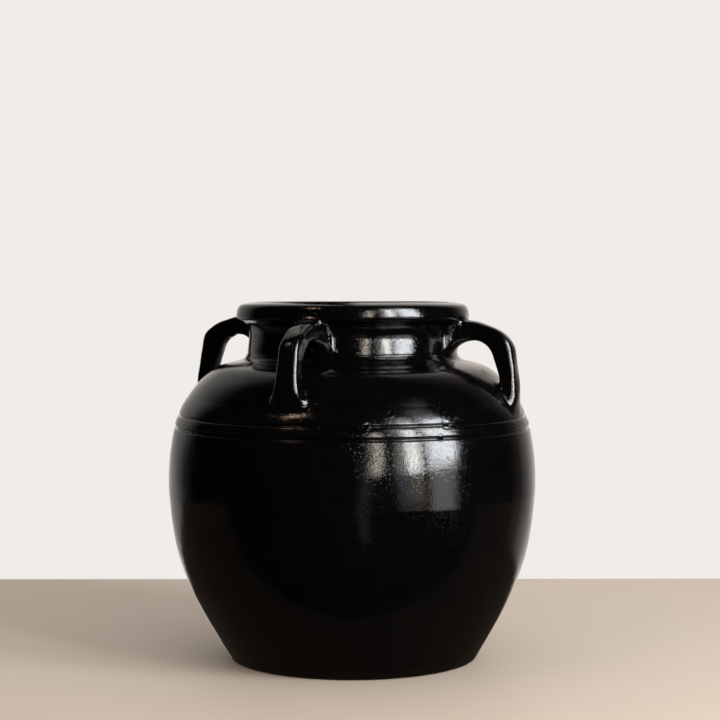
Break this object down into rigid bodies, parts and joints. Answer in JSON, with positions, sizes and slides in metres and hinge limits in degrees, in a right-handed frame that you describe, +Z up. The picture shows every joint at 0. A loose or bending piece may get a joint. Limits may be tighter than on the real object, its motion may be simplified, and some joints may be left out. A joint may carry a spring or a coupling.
{
  "type": "four-handled jar",
  "caption": "Wide-bellied round jar with a short upright neck, rolled rim and strap handles from neck to shoulder, under a black gloss glaze.",
  "frame": {"origin": "centre of the resting face, where the jar's turning axis meets the surface it stands on", "axes": "+Z up along the turning axis; -Y towards the front handle, +X towards the right handle"},
  "size_m": [0.2686, 0.2686, 0.26],
  "materials": {
    "black_glaze": "high-gloss black glaze with a fine orange-peel ripple, pinholes and small specks",
    "base_clay": "dark fired clay, bare and matt on the resting face, glazed on the edge and on the floor inside"
  },
  "bodies": {
    "root": {"base_disc": "base_clay", "lower_bowl": "black_glaze", "upper_bowl": "black_glaze", "neck_collar": "black_glaze", "rolled_rim": "black_glaze", "handle_front": "black_glaze", "handle_right": "black_glaze", "handle_back": "black_glaze", "handle_left": "black_glaze"}
  },
  "joints": []
}
